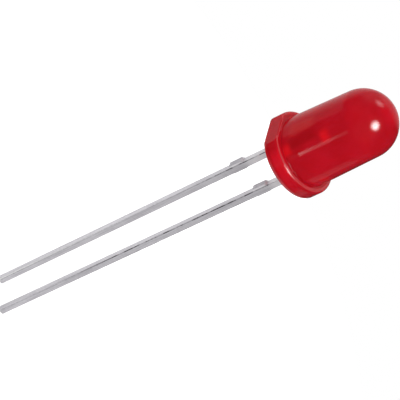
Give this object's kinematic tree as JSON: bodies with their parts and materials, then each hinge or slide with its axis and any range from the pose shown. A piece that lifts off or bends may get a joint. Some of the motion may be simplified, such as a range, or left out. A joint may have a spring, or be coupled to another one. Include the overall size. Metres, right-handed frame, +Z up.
{
  "type": "through-hole led",
  "caption": "Round-lens through-hole light-emitting diode in red diffused epoxy, with a flanged base, a cathode flat and long straight square leads for a circuit board.",
  "frame": {"origin": "on the lens axis at the underside of the flange, where the part seats on a board", "axes": "+Z up the lens axis to the dome, the two leads in the XZ plane, cathode lead and flat at -X"},
  "size_m": [0.0057, 0.006, 0.0395],
  "materials": {
    "red_epoxy": "gloss, diffused",
    "tinned_lead": "dull tin",
    "silver_paste": "matt",
    "chip": "sawn",
    "gold_wire": "bright"
  },
  "bodies": {
    "root": {"epoxy_lens": "red_epoxy", "cathode_lead": "tinned_lead", "anode_lead": "tinned_lead", "chip_paste": "silver_paste", "led_chip": "chip", "bond_wire": "gold_wire"}
  },
  "joints": []
}
